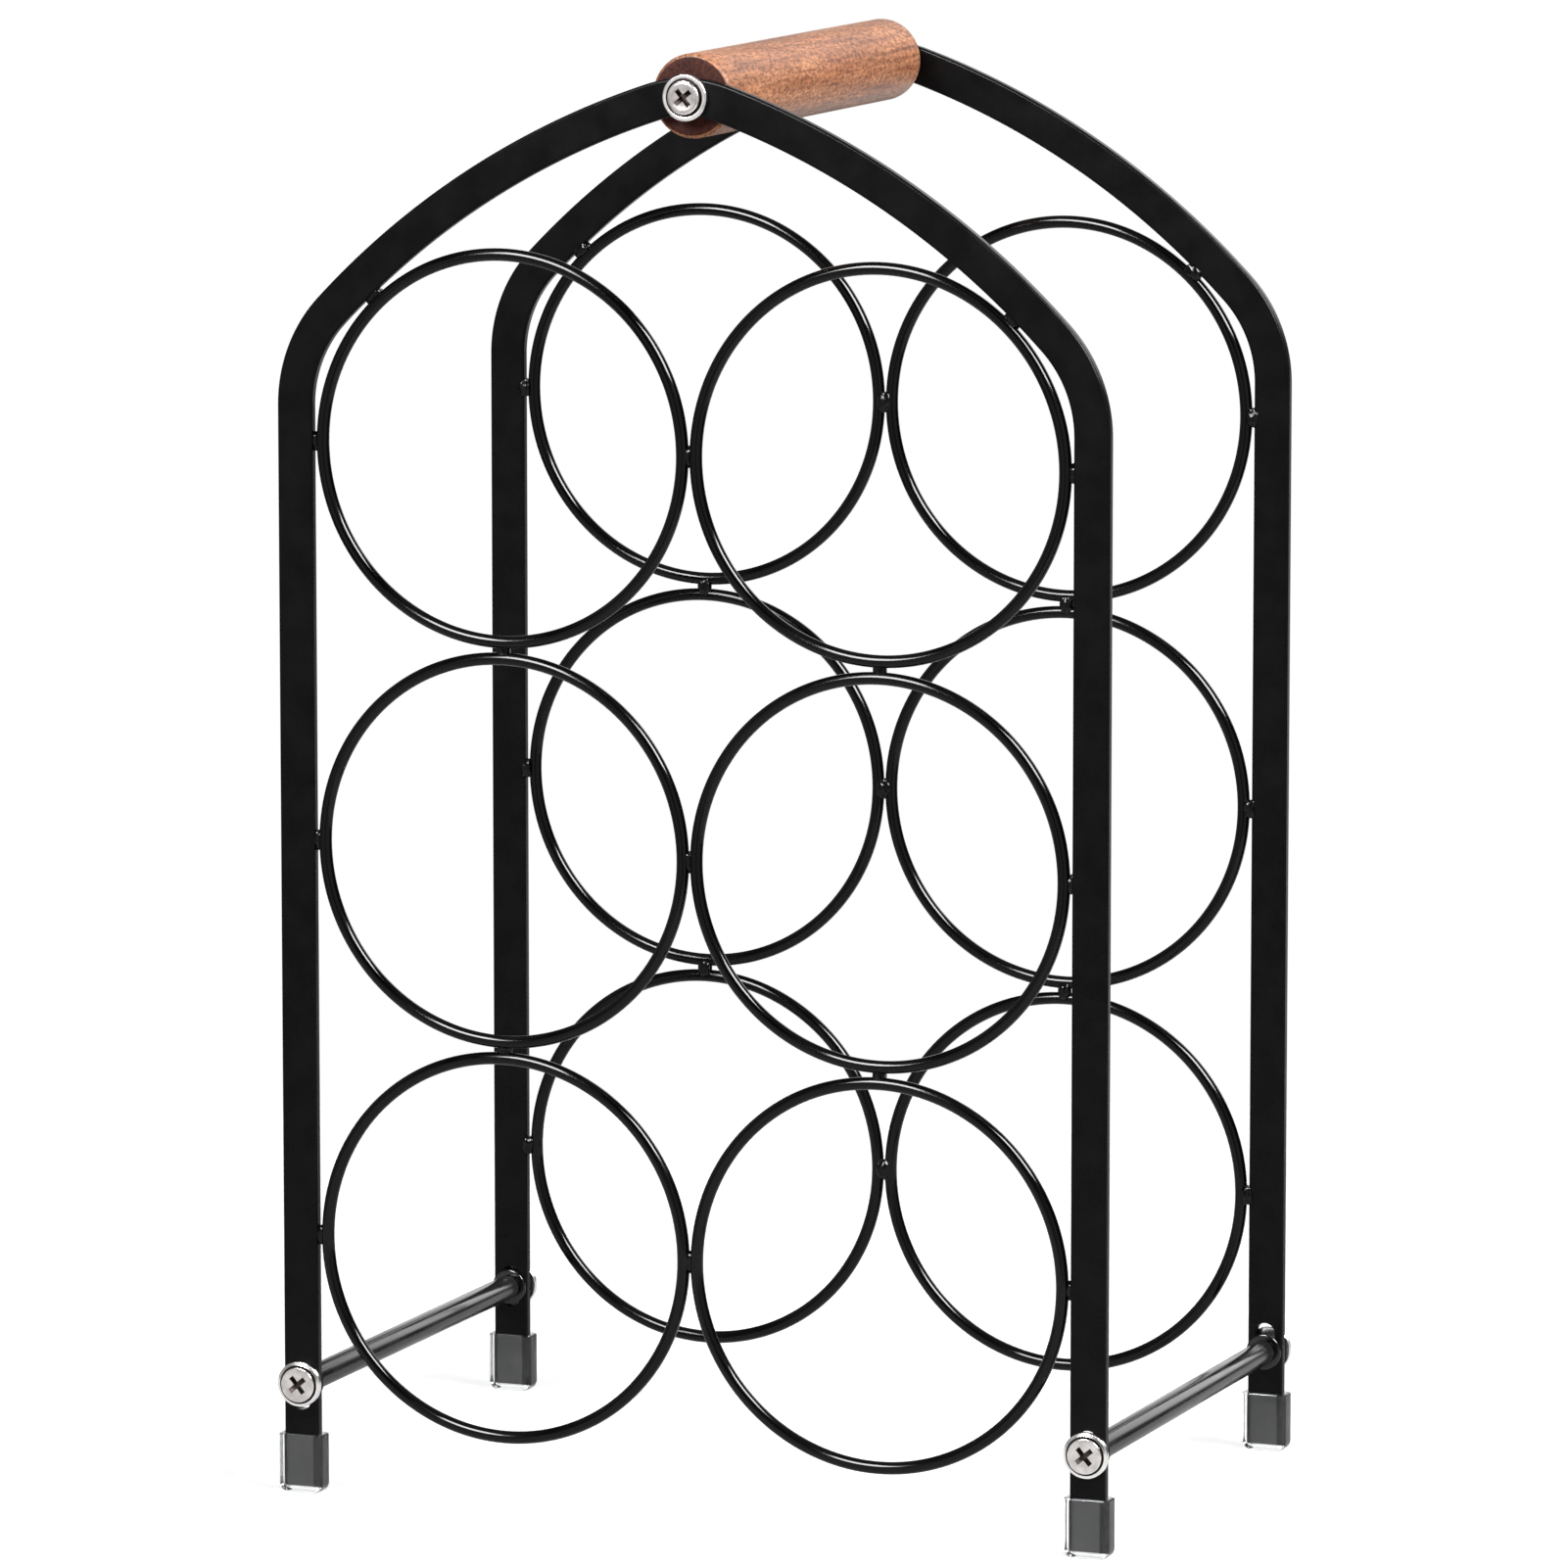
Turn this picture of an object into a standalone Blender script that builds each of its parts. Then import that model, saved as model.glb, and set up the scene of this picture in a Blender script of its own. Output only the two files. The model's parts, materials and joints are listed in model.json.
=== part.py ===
# Countertop wine rack for six bottles: two welded frames joined by two rods and a wooden handle.
# Lengths are metres and angles are degrees. +Z is up and -Y is the front.
# The origin lies on the floor, under the middle of the rack.

import math

import bmesh
import bpy
from mathutils import Matrix, Vector

# Wire rings, one for each bottle end
ring_outer_diameter = 0.1002
wire_diameter = 0.0032
ring_side_gap = 0.0004
ring_stack_gap = 0.0010
ring_columns = 2
ring_rows = 3
ring_floor_height = 0.0167
ring_sides = 36
wire_sides = 8

# Flat bar of each frame, bent on edge into an arch
bar_width = 0.0094
bar_thickness = 0.0030
bar_ring_gap = 0.0009
shoulder_inner_radius = 0.0300
shoulder_angle = 44.0
arm_inner_radius = 0.2100
apex_inner_radius = 0.0250
shoulder_steps = 7
arm_steps = 9
apex_steps = 3

# The two frames stand this far apart, from middle plane to middle plane
frame_spacing = 0.1370

# Weld beads between a ring and what it touches, set towards the inside of the rack
bead_length = 0.0050
bead_breadth = 0.0034
bead_depth = 0.0034
bead_inset = 0.0006
bead_clearance = 0.0003
bead_sides = 8
bead_rings = 5

# Slots in the legs for the lower screws
front_slot_height = 0.0268
rear_slot_height = 0.0282
slot_length = 0.0108
slot_width = 0.0054
slot_end_steps = 8

# Screws with a low, round-edged head and a cross recess
screw_head_diameter = 0.0117
screw_head_height = 0.0025
screw_rim_height = 0.0007
screw_face_diameter = 0.0090
screw_shank_diameter = 0.0040
screw_shank_length = 0.0140
screw_tip_chamfer = 0.0006
recess_span = 0.0056
recess_width = 0.0011
recess_depth = 0.0014
recess_turn = 40.0
screw_sides = 20
screw_rim_steps = 4
screw_clearance = 0.0003
seat_gap = 0.0003

# Rods between the legs, with a washer at each end
rod_diameter = 0.0064
rod_end_chamfer = 0.0005
rod_bore_spare = 0.0010
left_rod_height = 0.0282
right_rod_height = 0.0262
washer_diameter = 0.0094
washer_thickness = 0.0010
round_sides = 20

# Wooden handle with a threaded insert in each end
handle_diameter = 0.0210
handle_end_radius = 0.0013
handle_end_steps = 3
handle_sides = 28
insert_diameter = 0.0070
insert_length = 0.0090
insert_clearance = 0.0003
insert_recess = 0.0003
handle_bore_spare = 0.0010

# Soft caps on the legs
foot_wall = 0.0011
foot_floor = 0.0014
foot_clearance = 0.0003
foot_height = 0.0152
foot_corner_radius = 0.0026
foot_corner_steps = 4
foot_edge_radius = 0.0007

# Cutters run past what they cut by this much
cut_overrun = 0.0020

# Vertices closer than this are one vertex
weld_distance = 0.00001

# Edges sharper than this stay sharp under smooth shading
sharp_angle = 35.0

# Places that follow from the sizes above
ring_outer_radius = ring_outer_diameter / 2
wire_radius = wire_diameter / 2
ring_radius = ring_outer_radius - wire_radius
column_pitch = ring_outer_diameter + ring_side_gap
row_pitch = ring_outer_diameter + ring_stack_gap
bottom_row_z = ring_floor_height + ring_outer_radius
top_row_z = bottom_row_z + (ring_rows - 1) * row_pitch
outer_ring_x = (ring_columns - 1) * column_pitch / 2
bar_inner_x = outer_ring_x + ring_outer_radius + bar_ring_gap
leg_x = bar_inner_x + bar_width / 2
bar_end_z = foot_floor + foot_clearance
frame_y = frame_spacing / 2
bar_inside_y = frame_y - bar_thickness / 2
bar_outside_y = frame_y + bar_thickness / 2
cutter_length = 2 * (bar_outside_y + cut_overrun)

# Arcs of the arch. Each arm clears its top ring by the same gap as the legs do
shoulder_turn = math.radians(shoulder_angle)
arm_offset = arm_inner_radius - shoulder_inner_radius
shoulder_x = bar_inner_x - shoulder_inner_radius
arm_x = shoulder_x - arm_offset * math.cos(shoulder_turn)
arm_reach = arm_inner_radius - ring_outer_radius - bar_ring_gap
arm_z = top_row_z - math.sqrt(arm_reach ** 2 - (outer_ring_x - arm_x) ** 2)
shoulder_z = arm_z + arm_offset * math.sin(shoulder_turn)
apex_offset = arm_inner_radius - apex_inner_radius
apex_z = arm_z + math.sqrt(apex_offset ** 2 - arm_x ** 2)
apex_turn = math.atan2(apex_z - arm_z, -arm_x)
arm_contact_angle = math.atan2(top_row_z - arm_z, outer_ring_x - arm_x)
handle_z = apex_z + apex_inner_radius + bar_width / 2

# Where the screws, washers and rods lie along Y, outward from the middle
screw_seat_y = bar_outside_y + seat_gap
screw_tip_y = screw_seat_y - screw_shank_length
washer_outer_y = bar_inside_y - seat_gap
washer_inner_y = washer_outer_y - washer_thickness
rod_end_y = washer_inner_y - seat_gap
handle_end_y = bar_inside_y - seat_gap
insert_outer_y = handle_end_y - insert_recess
insert_inner_y = insert_outer_y - insert_length

# Directions from the middle of a ring, as angles in the plane of the frame
TO_RIGHT = 0.0
TO_UP = math.pi / 2
TO_LEFT = math.pi
TO_DOWN = -math.pi / 2

SIDES = (("left", -1), ("right", 1))
FRAMES = (("front", -1), ("rear", 1))


def clear_scene():
    for item in list(bpy.data.objects):
        bpy.data.objects.remove(item, do_unlink=True)


def new_collection(name):
    collection = bpy.data.collections.new(name)
    bpy.context.scene.collection.children.link(collection)
    return collection


def new_material(name, colour, roughness, metallic=0.0):
    material = bpy.data.materials.new(name)
    material.use_nodes = True
    shader = material.node_tree.nodes["Principled BSDF"]
    shader.inputs["Base Color"].default_value = (*colour, 1.0)
    shader.inputs["Roughness"].default_value = roughness
    shader.inputs["Metallic"].default_value = metallic
    return material


def place(item, collection):
    # Moves an object from whatever holds it into the collection
    for holder in list(item.users_collection):
        holder.objects.unlink(item)
    collection.objects.link(item)
    return item


def finish(item, material, smooth=True):
    # Gives an object its material and shading
    item.data.materials.clear()
    item.data.materials.append(material)
    if smooth:
        item.data.shade_smooth()
        item.data.set_sharp_from_angle(angle=math.radians(sharp_angle))


def as_cutter(item):
    item.hide_render = True
    item.display_type = "WIRE"
    return place(item, cutters)


def combine(item, other, operation):
    step = item.modifiers.new(other.name, "BOOLEAN")
    step.operation = operation
    step.object = other
    step.solver = "EXACT"


def arc(centre_x, centre_z, radius, start, end, steps):
    # Points from the start angle to the end angle, both included
    points = []
    for step in range(steps + 1):
        angle = start + (end - start) * step / steps
        points.append((centre_x + radius * math.cos(angle), centre_z + radius * math.sin(angle)))
    return points


def outline_plate(name, points, thickness):
    # A flat outline in X and Z, as a closed mesh of the given thickness about Y = 0
    curve = bpy.data.curves.new(name, "CURVE")
    curve.dimensions = "2D"
    curve.fill_mode = "BOTH"
    curve.extrude = thickness / 2
    spline = curve.splines.new("POLY")
    spline.points.add(len(points) - 1)
    for target, (x, z) in zip(spline.points, points):
        target.co = (x, z, 0.0, 1.0)
    spline.use_cyclic_u = True
    source = bpy.data.objects.new(name, curve)
    bpy.context.scene.collection.objects.link(source)
    source.rotation_euler.x = math.pi / 2
    bpy.context.view_layer.update()
    graph = bpy.context.evaluated_depsgraph_get()
    mesh = bpy.data.meshes.new_from_object(source.evaluated_get(graph))
    mesh.transform(source.matrix_world)
    bpy.data.objects.remove(source, do_unlink=True)
    body = bmesh.new()
    body.from_mesh(mesh)
    bmesh.ops.remove_doubles(body, verts=body.verts, dist=weld_distance)
    bmesh.ops.recalc_face_normals(body, faces=body.faces)
    body.to_mesh(mesh)
    body.free()
    return bpy.data.objects.new(name, mesh)


def turned(name, profile, sides):
    # A profile of (radius, height) points, from the top down its outer side, turned about Z
    mesh = bpy.data.meshes.new(name)
    corners = [(radius, 0.0, height) for radius, height in profile]
    edges = [(index, index + 1) for index in range(len(profile) - 1)]
    mesh.from_pydata(corners, edges, [])
    item = bpy.data.objects.new(name, mesh)
    spin = item.modifiers.new("Turn", "SCREW")
    spin.axis = "Z"
    spin.steps = sides
    spin.render_steps = sides
    spin.use_merge_vertices = True
    spin.merge_threshold = weld_distance
    spin.use_smooth_shade = True
    return item


def point_along_y(item, direction):
    # Turns an object's own +Z to the front (-1) or to the rear (1)
    item.rotation_euler.x = -direction * math.pi / 2


def block(name, size, centre):
    mesh = bpy.data.meshes.new(name)
    body = bmesh.new()
    bmesh.ops.create_cube(body, size=1.0, matrix=Matrix.Diagonal((*size, 1.0)))
    body.to_mesh(mesh)
    body.free()
    item = bpy.data.objects.new(name, mesh)
    item.location = centre
    return item


def cylinder_cutter(name, diameter, length, sides):
    # A round cutter along Y
    mesh = bpy.data.meshes.new(name)
    body = bmesh.new()
    bmesh.ops.create_cone(
        body, cap_ends=True, segments=sides, radius1=diameter / 2, radius2=diameter / 2, depth=length,
        matrix=Matrix.Rotation(math.pi / 2, 4, "X"))
    body.to_mesh(mesh)
    body.free()
    return as_cutter(bpy.data.objects.new(name, mesh))


def arch_edge(offset):
    # Right half of one edge of the bar, from the foot to the apex. Offset 0 is the inner edge
    points = [(bar_inner_x + offset, bar_end_z)]
    points += arc(shoulder_x, shoulder_z, shoulder_inner_radius + offset, 0.0, shoulder_turn,
                  shoulder_steps)
    points += arc(arm_x, arm_z, arm_inner_radius + offset, shoulder_turn, apex_turn, arm_steps)[1:]
    points += arc(0.0, apex_z, apex_inner_radius + offset, apex_turn, math.pi / 2, apex_steps)[1:]
    return points


def mirrored(points):
    # The left half that follows a right half, from the apex down
    return [(-x, z) for x, z in reversed(points[:-1])]


def slot_outline():
    half_run = (slot_length - slot_width) / 2
    radius = slot_width / 2
    points = arc(0.0, half_run, radius, 0.0, math.pi, slot_end_steps)
    points += arc(0.0, -half_run, radius, math.pi, 2 * math.pi, slot_end_steps)
    return points


def make_frame_bar(name, frame, material):
    outer = arch_edge(bar_width)
    inner = arch_edge(0.0)
    outer += mirrored(outer)
    inner += mirrored(inner)
    bar = outline_plate(name, outer + inner[::-1], bar_thickness)
    combine(bar, slot_cutters[frame, "left"], "DIFFERENCE")
    combine(bar, slot_cutters[frame, "right"], "DIFFERENCE")
    combine(bar, handle_hole_cutter, "DIFFERENCE")
    finish(bar, material, smooth=False)
    return bar


def make_slot_cutters():
    # One long cutter for each slot. It reaches both frames but cuts only its own
    result = {}
    for (frame, direction), height in zip(FRAMES, (front_slot_height, rear_slot_height)):
        for side, sign in SIDES:
            name = "slot_cutter_" + frame + "_" + side
            cutter = as_cutter(outline_plate(name, slot_outline(), cutter_length))
            cutter.location = (sign * leg_x, 0.0, height)
            result[frame, side] = cutter
    return result


def make_handle_hole_cutter():
    hole_diameter = screw_shank_diameter + 2 * screw_clearance
    cutter = cylinder_cutter("handle_hole_cutter", hole_diameter, cutter_length, round_sides)
    cutter.location.z = handle_z
    return cutter


def add_half_bead(body, angle, gap, reach, direction):
    # A bead in the gap beyond the ring, cut off flat at its reach
    outward = Vector((math.cos(angle), 0.0, math.sin(angle)))
    along = Vector((-math.sin(angle), 0.0, math.cos(angle)))
    axes = Matrix((outward, Vector((0.0, 1.0, 0.0)), along)).transposed().to_4x4()
    size = Matrix.Diagonal((bead_breadth / 2, bead_depth / 2, bead_length / 2, 1.0))
    inset = Vector((0.0, -direction * bead_inset, 0.0))
    middle = Matrix.Translation(outward * (ring_outer_radius + gap / 2) + inset)
    made = bmesh.ops.create_uvsphere(body, u_segments=bead_sides, v_segments=bead_rings, radius=1.0,
                                     matrix=middle @ axes @ size)
    faces = {face for vert in made["verts"] for face in vert.link_faces}
    edges = {edge for face in faces for edge in face.edges}
    cut = bmesh.ops.bisect_plane(
        body, geom=made["verts"] + list(edges) + list(faces), dist=weld_distance,
        plane_co=outward * (ring_outer_radius + reach), plane_no=outward, clear_outer=True)
    rim = [item for item in cut["geom_cut"] if isinstance(item, bmesh.types.BMEdge)]
    bmesh.ops.contextual_create(body, geom=rim)


def ring_beads(column, row):
    # The angle, the gap and the bead's reach beyond the ring, for each thing this ring touches
    to_side = (ring_side_gap, (ring_side_gap - bead_clearance) / 2)
    to_row = (ring_stack_gap, (ring_stack_gap - bead_clearance) / 2)
    to_bar = (bar_ring_gap, bar_ring_gap - bead_clearance)
    beads = []
    beads.append((TO_LEFT, *(to_bar if column == 0 else to_side)))
    beads.append((TO_RIGHT, *(to_bar if column == ring_columns - 1 else to_side)))
    if row > 0:
        beads.append((TO_DOWN, *to_row))
    if row < ring_rows - 1:
        beads.append((TO_UP, *to_row))
    elif column == 0:
        beads.append((math.pi - arm_contact_angle, *to_bar))
    elif column == ring_columns - 1:
        beads.append((arm_contact_angle, *to_bar))
    return beads


def make_ring(name, column, row, direction, material):
    bpy.ops.mesh.primitive_torus_add(
        major_radius=ring_radius, minor_radius=wire_radius, major_segments=ring_sides,
        minor_segments=wire_sides, rotation=(math.pi / 2, 0.0, 0.0))
    ring = bpy.context.object
    ring.name = name
    ring.data.name = name
    bpy.ops.object.transform_apply(location=False, rotation=True, scale=False)
    beads_mesh = bpy.data.meshes.new(name + "_beads")
    body = bmesh.new()
    for angle, gap, reach in ring_beads(column, row):
        add_half_bead(body, angle, gap, reach, direction)
    bmesh.ops.recalc_face_normals(body, faces=body.faces)
    body.to_mesh(beads_mesh)
    body.free()
    beads = as_cutter(bpy.data.objects.new(name + "_beads", beads_mesh))
    beads.parent = ring
    combine(ring, beads, "UNION")
    finish(ring, material)
    ring.location.x = (column - (ring_columns - 1) / 2) * column_pitch
    ring.location.z = bottom_row_z + row * row_pitch
    return ring


def screw_profile():
    head_radius = screw_head_diameter / 2
    face_radius = screw_face_diameter / 2
    shank_radius = screw_shank_diameter / 2
    profile = [(0.0, screw_head_height)]
    for step in range(screw_rim_steps + 1):
        angle = math.pi / 2 * (1 - step / screw_rim_steps)
        radius = face_radius + (head_radius - face_radius) * math.cos(angle)
        height = screw_rim_height + (screw_head_height - screw_rim_height) * math.sin(angle)
        profile.append((radius, height))
    profile.append((head_radius, 0.0))
    profile.append((shank_radius, 0.0))
    profile.append((shank_radius, screw_tip_chamfer - screw_shank_length))
    profile.append((shank_radius - screw_tip_chamfer, -screw_shank_length))
    profile.append((0.0, -screw_shank_length))
    return profile


def make_recess_cutters():
    # Two crossed bars, sunk into the face of a screw's head
    height = recess_depth + cut_overrun
    middle = (0.0, 0.0, screw_head_height - recess_depth + height / 2)
    first = as_cutter(block("recess_cutter_a", (recess_span, recess_width, height), middle))
    second = as_cutter(block("recess_cutter_b", (recess_width, recess_span, height), middle))
    return first, second


def make_screw(name, x, z, direction, material):
    # The screw's head faces the front (-1) or the rear (1)
    screw = turned(name, screw_profile(), screw_sides)
    for arm in make_recess_cutters():
        arm.parent = screw
        arm.rotation_euler.z = math.radians(recess_turn)
        combine(screw, arm, "DIFFERENCE")
    finish(screw, material)
    point_along_y(screw, direction)
    screw.location = (x, direction * screw_seat_y, z)
    return screw


def make_rod(name, x, z, material):
    outer = rod_diameter / 2
    bore = screw_shank_diameter / 2 + screw_clearance
    bore_end = screw_tip_y - rod_bore_spare
    half = [(0.0, bore_end), (bore, bore_end), (bore, rod_end_y), (outer - rod_end_chamfer, rod_end_y),
            (outer, rod_end_y - rod_end_chamfer)]
    profile = half + [(radius, -height) for radius, height in reversed(half)]
    rod = turned(name, profile, round_sides)
    finish(rod, material)
    point_along_y(rod, 1)
    rod.location = (x, 0.0, z)
    return rod


def sleeve_profile(inner, outer, length):
    # A plain tube, closed on itself, centred on Z = 0
    top = length / 2
    return [(inner, top), (outer, top), (outer, -top), (inner, -top), (inner, top)]


def make_sleeve(name, inner, outer, length, place_at, material):
    sleeve = turned(name, sleeve_profile(inner, outer, length), round_sides)
    finish(sleeve, material)
    point_along_y(sleeve, 1)
    sleeve.location = place_at
    return sleeve


def make_handle(name, material):
    outer = handle_diameter / 2
    bore = insert_diameter / 2 + insert_clearance
    bore_end = min(insert_inner_y, screw_tip_y) - handle_bore_spare
    half = [(0.0, bore_end), (bore, bore_end), (bore, handle_end_y)]
    half += arc(outer - handle_end_radius, handle_end_y - handle_end_radius, handle_end_radius,
                math.pi / 2, 0.0, handle_end_steps)
    profile = half + [(radius, -height) for radius, height in reversed(half)]
    handle = turned(name, profile, handle_sides)
    finish(handle, material)
    point_along_y(handle, 1)
    handle.location.z = handle_z
    return handle


def foot_outline():
    # The cap seen from the front: square at its top, round at its lower corners
    half_width = bar_width / 2 + foot_clearance + foot_wall
    corner_x = half_width - foot_corner_radius
    points = [(half_width, foot_height), (-half_width, foot_height)]
    points += arc(-corner_x, foot_corner_radius, foot_corner_radius, math.pi, 1.5 * math.pi,
                  foot_corner_steps)
    points += arc(corner_x, foot_corner_radius, foot_corner_radius, 1.5 * math.pi, 2 * math.pi,
                  foot_corner_steps)
    return points


def make_foot(name, x, y, material):
    pocket_width = bar_width + 2 * foot_clearance
    pocket_thickness = bar_thickness + 2 * foot_clearance
    foot = outline_plate(name, foot_outline(), pocket_thickness + 2 * foot_wall)
    edges = foot.modifiers.new("Round edges", "BEVEL")
    edges.width = foot_edge_radius
    edges.segments = 2
    edges.limit_method = "ANGLE"
    edges.angle_limit = math.radians(60.0)
    pocket_height = foot_height - foot_floor + cut_overrun
    pocket = as_cutter(block(name + "_pocket", (pocket_width, pocket_thickness, pocket_height),
                             (0.0, 0.0, foot_floor + pocket_height / 2)))
    pocket.parent = foot
    combine(foot, pocket, "DIFFERENCE")
    finish(foot, material)
    foot.location = (x, y, 0.0)
    return foot


def row_name(row):
    if row == 0:
        return "bottom"
    if row == ring_rows - 1:
        return "top"
    return "middle"


def build_frame(frame, direction):
    # A frame's pieces hang on an empty in the frame's middle plane
    holder = place(bpy.data.objects.new(frame + "_frame", None), rack)
    holder.location.y = direction * frame_y
    bar = make_frame_bar(frame + "_frame_bar", frame, satin_black)
    bar.parent = holder
    place(bar, rack)
    for row in range(ring_rows):
        for column, (side, sign) in enumerate(SIDES):
            name = frame + "_ring_" + row_name(row) + "_" + side
            ring = make_ring(name, column, row, direction, gloss_black)
            ring.parent = holder
            place(ring, rack)


def build_crossbars():
    # Rods, washers and lower screws. Each rod is clamped at its own height in its slots
    washer_y = (washer_outer_y + washer_inner_y) / 2
    washer_bore = screw_shank_diameter / 2 + screw_clearance
    for (side, sign), z in zip(SIDES, (left_rod_height, right_rod_height)):
        x = sign * leg_x
        place(make_rod(side + "_crossbar", x, z, satin_grey), rack)
        for frame, direction in FRAMES:
            end = frame + "_" + side
            place(make_sleeve(end + "_washer", washer_bore, washer_diameter / 2, washer_thickness,
                              (x, direction * washer_y, z), satin_black), rack)
            place(make_screw(end + "_screw", x, z, direction, nickel), rack)


def build_handle():
    insert_y = (insert_outer_y + insert_inner_y) / 2
    insert_bore = screw_shank_diameter / 2 + screw_clearance
    place(make_handle("carry_handle", red_wood), rack)
    for frame, direction in FRAMES:
        place(make_sleeve("handle_insert_" + frame, insert_bore, insert_diameter / 2, insert_length,
                          (0.0, direction * insert_y, handle_z), brass), rack)
        place(make_screw("handle_screw_" + frame, 0.0, handle_z, direction, nickel), rack)


def build_feet():
    for frame, direction in FRAMES:
        for side, sign in SIDES:
            place(make_foot(frame + "_" + side + "_foot", sign * leg_x, direction * frame_y,
                            clear_plastic), rack)


clear_scene()
rack = new_collection("wine_rack")
cutters = new_collection("cutters")

satin_black = new_material("satin_black_coat", (0.012, 0.012, 0.013), 0.42)
gloss_black = new_material("gloss_black_coat", (0.006, 0.006, 0.007), 0.18)
satin_grey = new_material("satin_grey_rod", (0.10, 0.10, 0.10), 0.38, 0.6)
nickel = new_material("nickel_plate", (0.78, 0.76, 0.75), 0.22, 1.0)
brass = new_material("brass", (0.72, 0.52, 0.22), 0.35, 1.0)
red_wood = new_material("red_brown_wood", (0.42, 0.16, 0.08), 0.45)
clear_plastic = new_material("clear_soft_plastic", (0.82, 0.83, 0.84), 0.15)

slot_cutters = make_slot_cutters()
handle_hole_cutter = make_handle_hole_cutter()
for frame_name, frame_direction in FRAMES:
    build_frame(frame_name, frame_direction)
build_crossbars()
build_handle()
build_feet()
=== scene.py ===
import json
import math

import bmesh
import bpy
from mathutils import Matrix, Vector, noise


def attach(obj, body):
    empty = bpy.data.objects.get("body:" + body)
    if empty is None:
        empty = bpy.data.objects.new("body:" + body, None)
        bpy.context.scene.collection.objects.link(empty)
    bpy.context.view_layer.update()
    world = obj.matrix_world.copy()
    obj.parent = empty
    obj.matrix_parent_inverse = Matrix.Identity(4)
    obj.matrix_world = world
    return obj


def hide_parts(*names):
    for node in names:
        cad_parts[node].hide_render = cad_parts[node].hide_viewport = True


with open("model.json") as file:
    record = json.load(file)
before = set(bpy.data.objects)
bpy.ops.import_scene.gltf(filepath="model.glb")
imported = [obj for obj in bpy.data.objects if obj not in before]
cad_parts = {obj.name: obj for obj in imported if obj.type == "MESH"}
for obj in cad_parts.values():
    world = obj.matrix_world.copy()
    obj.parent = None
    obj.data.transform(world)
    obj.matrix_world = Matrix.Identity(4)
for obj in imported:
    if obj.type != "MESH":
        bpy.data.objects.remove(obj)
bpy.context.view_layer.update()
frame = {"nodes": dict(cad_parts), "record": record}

# Lengths are metres and angles are radians. +Z is up and -Y is the front.

# Wire rings
ring_centre_radius = 0.0485
wire_radius = 0.0016
ring_outer_radius = ring_centre_radius + wire_radius
ring_column_x = 0.0503
ring_row_z = (0.0668, 0.1680, 0.2692)
ring_steps = 160
wire_steps = 24

# Flat bar: a leg, a shoulder, an arm and half the apex on each side
bar_width = 0.0094
bar_half_thickness = 0.0015
bar_inner_x = 0.1013
bar_end_z = 0.0017
leg_x = bar_inner_x + bar_width / 2
shoulder_centre = (0.0713, 0.27799378)
shoulder_radius = 0.0300
shoulder_end = math.radians(44.0)
shoulder_steps = 20
arm_centre = (-0.05818116, 0.15295527)
arm_radius = 0.2100
arm_steps = 36
apex_centre = (0.0, 0.32856835)
apex_radius = 0.0250
apex_start = 1.25087405
apex_steps = 10
bar_edge_radius = 0.0007
bar_edge_steps = 5
frame_y = 0.0685

# Slots and holes in the flat bar, with a small round on their edges
slot_z = {"front": 0.0268, "rear": 0.0282}
slot_length = 0.0108
slot_width = 0.0054
handle_z = 0.35826835
handle_hole_radius = 0.0023
half_circle_steps = 20
hole_edge_width = 0.0003
hole_edge_steps = 3
hole_edge_angle = math.radians(50.0)
cutter_overrun = 0.002

# Weld drops. Each kind has its length towards the neighbour, its length across and its first seed
weld_kinds = {"columns": (0.0040, 0.0056, 0), "leg": (0.0032, 0.0050, 10),
              "rows": (0.0050, 0.0034, 20), "arm": (0.0034, 0.0050, 30)}
weld_seeds = {"front": 1.0, "rear": 60.0}
weld_depth = 0.0034
weld_inset = 0.0007
leg_weld_gap = 0.0004
arm_weld_gap = 0.0003
arm_weld_angle = 0.81993125
weld_subdivisions = 4
lump_size = 0.16
lump_pitch = 1.7
lump_step = 3.1
lump_squareness = 0.8

# Rods, washers and screws. The bores end past the tips of the screws
rod_z = {"left": 0.0282, "right": 0.0262}
rod_radius = 0.0032
rod_end_y = 0.0654
rod_edge = 0.0005
rod_edge_steps = 4
rod_sides = 72
washer_middle_y = 0.0662
washer_radius = 0.0047
washer_half_thickness = 0.0005
washer_edge = 0.00045
washer_edge_steps = 6
washer_sides = 72
screw_bore_radius = 0.0023
bore_end_y = 0.0553
screw_seat_y = 0.0703
screw_radius = 0.00585
screw_length = 0.0140
shank_radius = 0.0020
shank_tip = 0.0006
screw_sides = 96

# Screw heads: the middle of the face as (radius, depth) points, radii of the groove, and heights
flat_head = {"middle": ((0.0, 0.0),), "face": 0.0022, "face_edge": 0.0003, "face_steps": 4,
             "groove": (0.0045, 0.0050), "groove_floor": 0.0006, "groove_top": 0.0015,
             "rim": 0.0013, "rim_edge": 0.0004}
stepped_head = {"middle": ((0.0, 0.00015), (0.0024, 0.00015), (0.0030, 0.0)),
                "face": 0.0024, "face_edge": 0.0006, "face_steps": 5,
                "groove": (0.0042, 0.0048), "groove_floor": 0.0007, "groove_top": 0.0013,
                "rim": 0.0014, "rim_edge": 0.0005}
groove_slope = 0.0001
rim_edge_steps = 5
head_edge = 0.0002
head_base = 0.0005
recess_depth = 0.0018
recess_span = 0.0058
recess_width = 0.00125
recess_turns = (math.radians(40.0), math.radians(130.0))
recess_rise = 0.001
recess_rise_scale = 1.15
recess_floor_scale = (0.45, 0.8)

# Handle
handle_radius = 0.0105
handle_end_y = 0.0667
handle_edge = 0.0013
handle_edge_steps = 8
handle_face_radius = 0.0060
handle_ring_reach = 0.06
handle_rings = 10
handle_sides = 128
insert_bore_radius = 0.0038
# The grain is turned about the handle so that a dark streak runs along the lower part of its side: real
# grain, placed there as painted shade
grain_turn_for_shade = math.radians(-22.0)

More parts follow.
